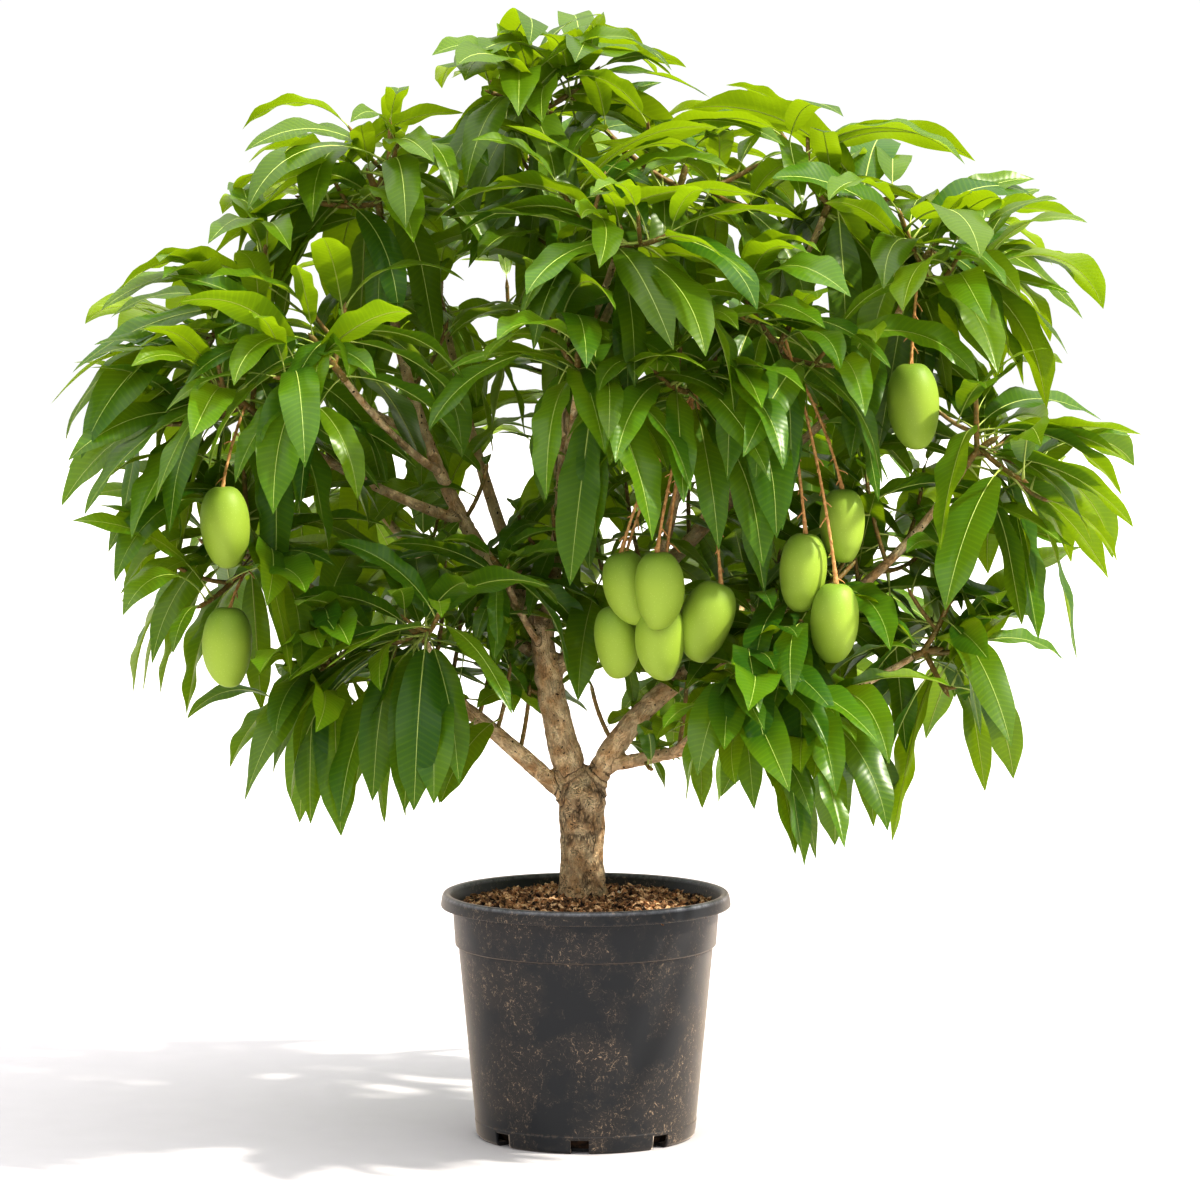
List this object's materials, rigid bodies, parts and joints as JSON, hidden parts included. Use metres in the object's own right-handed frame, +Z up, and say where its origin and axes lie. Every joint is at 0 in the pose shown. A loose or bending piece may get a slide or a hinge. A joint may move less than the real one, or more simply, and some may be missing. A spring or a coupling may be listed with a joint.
{
  "type": "potted mango tree",
  "caption": "Young fruiting mango tree with a short forked trunk and an open rounded crown, growing in a round plastic nursery pot filled with bark mix.",
  "frame": {"origin": "middle of the pot's flat underside, on the pot's axis", "axes": "+Z up along the pot's axis, -Y the tree's front, +X its right as seen from the front"},
  "size_m": [1.6227, 1.2459, 1.626],
  "materials": {
    "pot": "matt moulded plastic, dusty",
    "mix": "moist composted bark chips",
    "bark": "grey-brown bark, finely fissured on the trunk and smoother on the boughs",
    "foliage": "leathery glossy leaves, with green twigs and pale green fruit"
  },
  "bodies": {
    "root": {"pot": "pot", "bark_mix": "mix", "trunk": "bark", "bough_back_centre": "bark", "bough_back_left": "bark", "bough_back_low": "bark", "bough_back_right": "bark", "bough_back_top": "bark", "bough_centre": "bark", "bough_front_centre": "bark", "bough_front_right": "bark", "bough_front_top": "bark", "bough_leader": "bark", "bough_left_back": "bark", "bough_left_front": "bark", "bough_left_hang": "bark", "bough_left_high": "bark", "bough_left_low": "bark", "bough_left_mid": "bark", "bough_left_top": "bark", "bough_left_upper": "bark", "bough_right_centre": "bark", "bough_right_fork": "bark", "bough_right_high": "bark", "bough_right_low": "bark", "bough_right_low_front": "bark", "bough_right_low_outer": "bark", "bough_right_main": "bark", "bough_right_mid": "bark", "bough_right_outer": "bark", "bough_right_rise": "bark", "bough_right_top": "bark", "bough_stem_main": "bark", "foliage_back_centre": "foliage", "foliage_back_left": "foliage", "foliage_back_low": "foliage", "foliage_back_right": "foliage", "foliage_back_top": "foliage", "foliage_centre": "foliage", "foliage_front_centre": "foliage", "foliage_front_right": "foliage", "foliage_front_top": "foliage", "foliage_leader": "foliage", "foliage_left_back": "foliage", "foliage_left_front": "foliage", "foliage_left_hang": "foliage", "foliage_left_high": "foliage", "foliage_left_low": "foliage", "foliage_left_mid": "foliage", "foliage_left_top": "foliage", "foliage_left_upper": "foliage", "foliage_right_centre": "foliage", "foliage_right_fork": "foliage", "foliage_right_high": "foliage", "foliage_right_low": "foliage", "foliage_right_low_front": "foliage", "foliage_right_low_outer": "foliage", "foliage_right_mid": "foliage", "foliage_right_outer": "foliage", "foliage_right_top": "foliage"}
  },
  "joints": []
}
